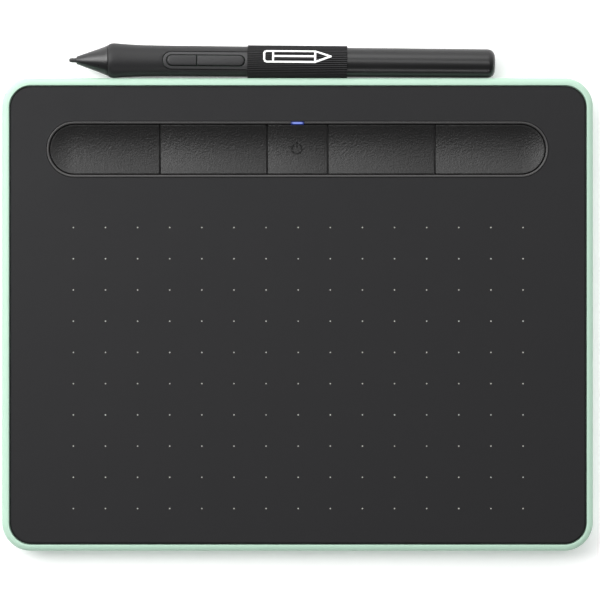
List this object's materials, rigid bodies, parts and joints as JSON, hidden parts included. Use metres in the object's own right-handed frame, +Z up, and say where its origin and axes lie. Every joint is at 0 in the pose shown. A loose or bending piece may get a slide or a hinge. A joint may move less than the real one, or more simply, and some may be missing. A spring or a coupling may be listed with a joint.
{
  "type": "pen drawing tablet",
  "caption": "Slim pen tablet with a dark dotted drawing panel in a pale rounded shell, a dished row of keys, and a pen held by a fabric loop behind the rear edge.",
  "frame": {"origin": "on the desk under the middle of the outline, pen included", "axes": "+X to the right, +Y to the rear edge where the pen lies, +Z up from the drawing panel"},
  "size_m": [0.2, 0.172, 0.0119],
  "materials": {
    "shell": "satin pale mint",
    "panel": "fine matte texture",
    "key": "spark-eroded texture",
    "frame": "satin",
    "clear": "clear",
    "led": "clear",
    "circuit": "solder mask",
    "chip": "matte",
    "steel": "satin",
    "foil": "foil",
    "wire": "gloss",
    "ribbon": "satin",
    "fabric": "ribbed elastic",
    "rubber": "matte",
    "label": "matte",
    "pen": "soft satin",
    "nib": "satin",
    "copper": "wound wire",
    "ferrite": "matte"
  },
  "bodies": {
    "tablet": {"base_shell": "shell", "top_cover": "panel", "key_frame": "frame", "light_guide": "clear", "status_led": "led", "sensor_board": "circuit", "shield_plate": "steel", "control_board": "circuit", "controller_chip": "chip", "radio_module": "steel", "usb_socket": "steel", "battery_cell": "foil", "battery_lead": "wire", "sensor_ribbon": "ribbon", "key_switch_1": "chip", "key_switch_2": "chip", "power_switch": "chip", "key_switch_3": "chip", "key_switch_4": "chip", "pen_loop": "fabric", "loop_clamp": "chip", "clamp_screw_left": "steel", "clamp_screw_right": "steel", "rating_label": "label", "foot_front_left": "rubber", "foot_front_right": "rubber", "foot_rear_left": "rubber", "foot_rear_right": "rubber", "case_screw_front_left": "steel", "case_screw_front_right": "steel", "case_screw_rear_left": "steel", "case_screw_rear_right": "steel"},
    "express_key_1": {"express_key_1": "key"},
    "express_key_2": {"express_key_2": "key"},
    "power_key": {"power_key": "key"},
    "express_key_3": {"express_key_3": "key"},
    "express_key_4": {"express_key_4": "key"},
    "key_plunger_1": {"key_plunger_1": "nib"},
    "key_plunger_2": {"key_plunger_2": "nib"},
    "power_plunger": {"power_plunger": "nib"},
    "key_plunger_3": {"key_plunger_3": "nib"},
    "key_plunger_4": {"key_plunger_4": "nib"},
    "pen": {"pen_front_barrel": "pen", "pen_nose_cone": "pen", "pen_switch_bezel": "pen", "pen_ferrite": "ferrite", "pen_coil": "copper", "pen_pressure_sensor": "steel", "pen_chassis": "chip", "pen_board": "circuit", "pen_tact_front": "chip", "pen_tact_rear": "chip", "nib_holder": "chip", "spare_nib_1": "nib", "spare_nib_2": "nib", "spare_nib_3": "nib"},
    "pen_nib": {"pen_nib": "nib"},
    "pen_switch_front": {"pen_switch_front": "pen"},
    "pen_switch_rear": {"pen_switch_rear": "pen"},
    "pen_rear_barrel": {"pen_rear_barrel": "pen"}
  },
  "joints": [
    {"name": "express_key_1_press", "type": "slide", "parent": "tablet", "child": "express_key_1", "axis": [0, 0, -1], "range_m": [0, 0.0005], "stiffness_N_per_m": 3200, "springref_m": -0.0001},
    {"name": "express_key_2_press", "type": "slide", "parent": "tablet", "child": "express_key_2", "axis": [0, 0, -1], "range_m": [0, 0.0005], "stiffness_N_per_m": 3200, "springref_m": -0.0001},
    {"name": "power_key_press", "type": "slide", "parent": "tablet", "child": "power_key", "axis": [0, 0, -1], "range_m": [0, 0.0005], "stiffness_N_per_m": 3200, "springref_m": -0.0001},
    {"name": "express_key_3_press", "type": "slide", "parent": "tablet", "child": "express_key_3", "axis": [0, 0, -1], "range_m": [0, 0.0005], "stiffness_N_per_m": 3200, "springref_m": -0.0001},
    {"name": "express_key_4_press", "type": "slide", "parent": "tablet", "child": "express_key_4", "axis": [0, 0, -1], "range_m": [0, 0.0005], "stiffness_N_per_m": 3200, "springref_m": -0.0001},
    {"name": "key_plunger_1_press", "type": "slide", "parent": "tablet", "child": "key_plunger_1", "axis": [0, 0, -1], "range_m": [0, 0.0005]},
    {"name": "key_plunger_2_press", "type": "slide", "parent": "tablet", "child": "key_plunger_2", "axis": [0, 0, -1], "range_m": [0, 0.0005]},
    {"name": "power_plunger_press", "type": "slide", "parent": "tablet", "child": "power_plunger", "axis": [0, 0, -1], "range_m": [0, 0.0005]},
    {"name": "key_plunger_3_press", "type": "slide", "parent": "tablet", "child": "key_plunger_3", "axis": [0, 0, -1], "range_m": [0, 0.0005]},
    {"name": "key_plunger_4_press", "type": "slide", "parent": "tablet", "child": "key_plunger_4", "axis": [0, 0, -1], "range_m": [0, 0.0005]},
    {"name": "pen_slide", "type": "slide", "parent": "tablet", "child": "pen", "axis": [-1, 0.0078, 0.0041], "range_m": [0, 0.09]},
    {"name": "nib_press", "type": "slide", "parent": "pen", "child": "pen_nib", "axis": [1, -0.0078, -0.0041], "range_m": [0, 0.0004], "stiffness_N_per_m": 2500, "springref_m": -0.00002},
    {"name": "pen_switch_front_press", "type": "slide", "parent": "pen", "child": "pen_switch_front", "axis": [-0.0041, 0, -1], "range_m": [0, 0.0003], "stiffness_N_per_m": 3000, "springref_m": -0.0001},
    {"name": "pen_switch_rear_press", "type": "slide", "parent": "pen", "child": "pen_switch_rear", "axis": [-0.0041, 0, -1], "range_m": [0, 0.0003], "stiffness_N_per_m": 3000, "springref_m": -0.0001},
    {"name": "pen_rear_barrel_pull", "type": "slide", "parent": "pen", "child": "pen_rear_barrel", "axis": [1, -0.0078, -0.0041], "range_m": [0, 0.03]}
  ],
  "couplings": [
    {"joint": "key_plunger_1_press", "follows": "express_key_1_press", "ratio": 1},
    {"joint": "key_plunger_2_press", "follows": "express_key_2_press", "ratio": 1},
    {"joint": "power_plunger_press", "follows": "power_key_press", "ratio": 1},
    {"joint": "key_plunger_3_press", "follows": "express_key_3_press", "ratio": 1},
    {"joint": "key_plunger_4_press", "follows": "express_key_4_press", "ratio": 1}
  ]
}
